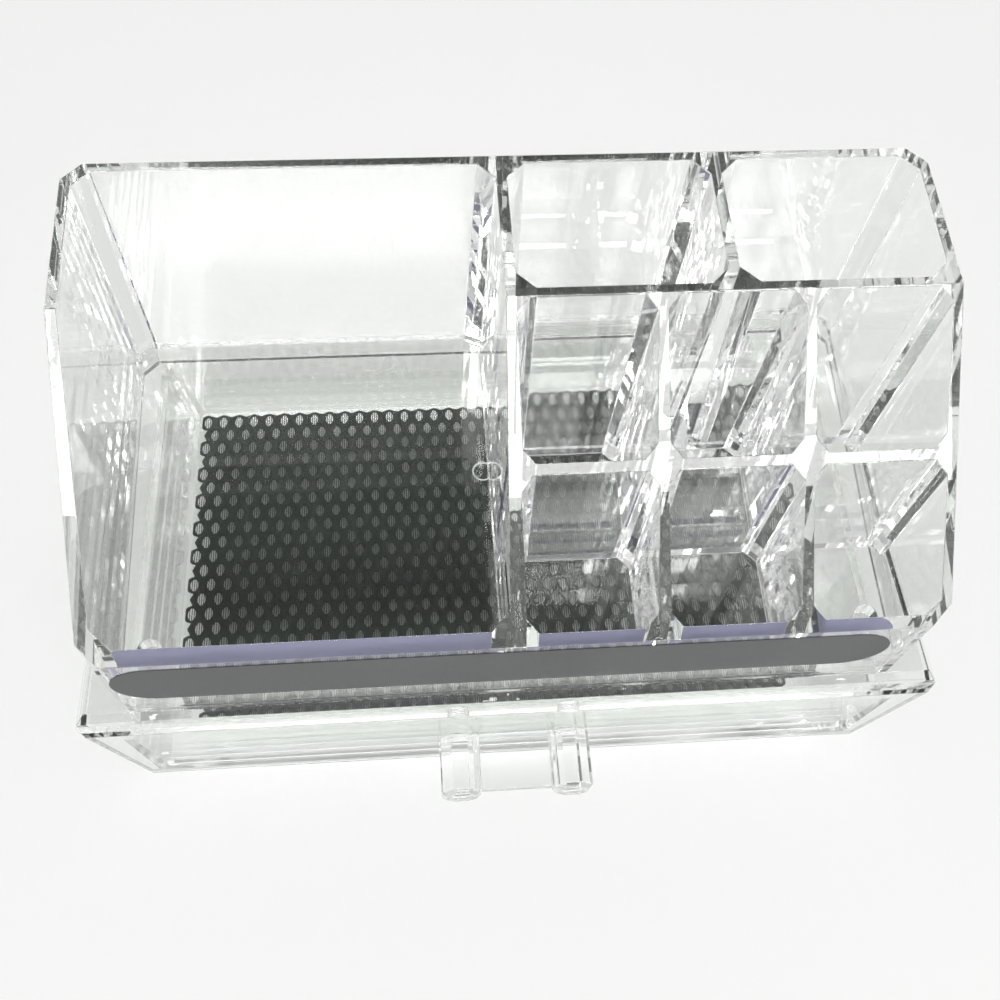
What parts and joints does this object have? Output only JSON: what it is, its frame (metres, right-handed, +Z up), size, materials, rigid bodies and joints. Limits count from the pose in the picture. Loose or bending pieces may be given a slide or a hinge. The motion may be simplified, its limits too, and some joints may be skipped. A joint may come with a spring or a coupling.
{
  "type": "makeup organizer",
  "caption": "Clear makeup organizer: a sloping tray of chamfered compartments on a flared base with a wide drawer, a two-post pull and a black net liner.",
  "frame": {"origin": "centre of the bounding box at the foot of the base, with the drawer shut and the pull included", "axes": "+X to the right of the drawer front, along the width; +Y to the rear; +Z up"},
  "size_m": [0.24, 0.1468, 0.133],
  "materials": {
    "clear_plastic": "clear polystyrene, polished in the mould",
    "label_film": "printed self-adhesive film, dark grey face and lavender back",
    "black_net": "knitted polyester net, black"
  },
  "bodies": {
    "base": {"drawer_housing": "clear_plastic", "upper_tray": "clear_plastic", "front_label": "label_film"},
    "drawer_unit": {"drawer": "clear_plastic", "drawer_pull": "clear_plastic", "mesh_liner": "black_net"}
  },
  "joints": [
    {"name": "drawer_slide", "type": "slide", "parent": "base", "child": "drawer_unit", "axis": [0, -1, 0], "range_m": [0, 0.1]}
  ]
}
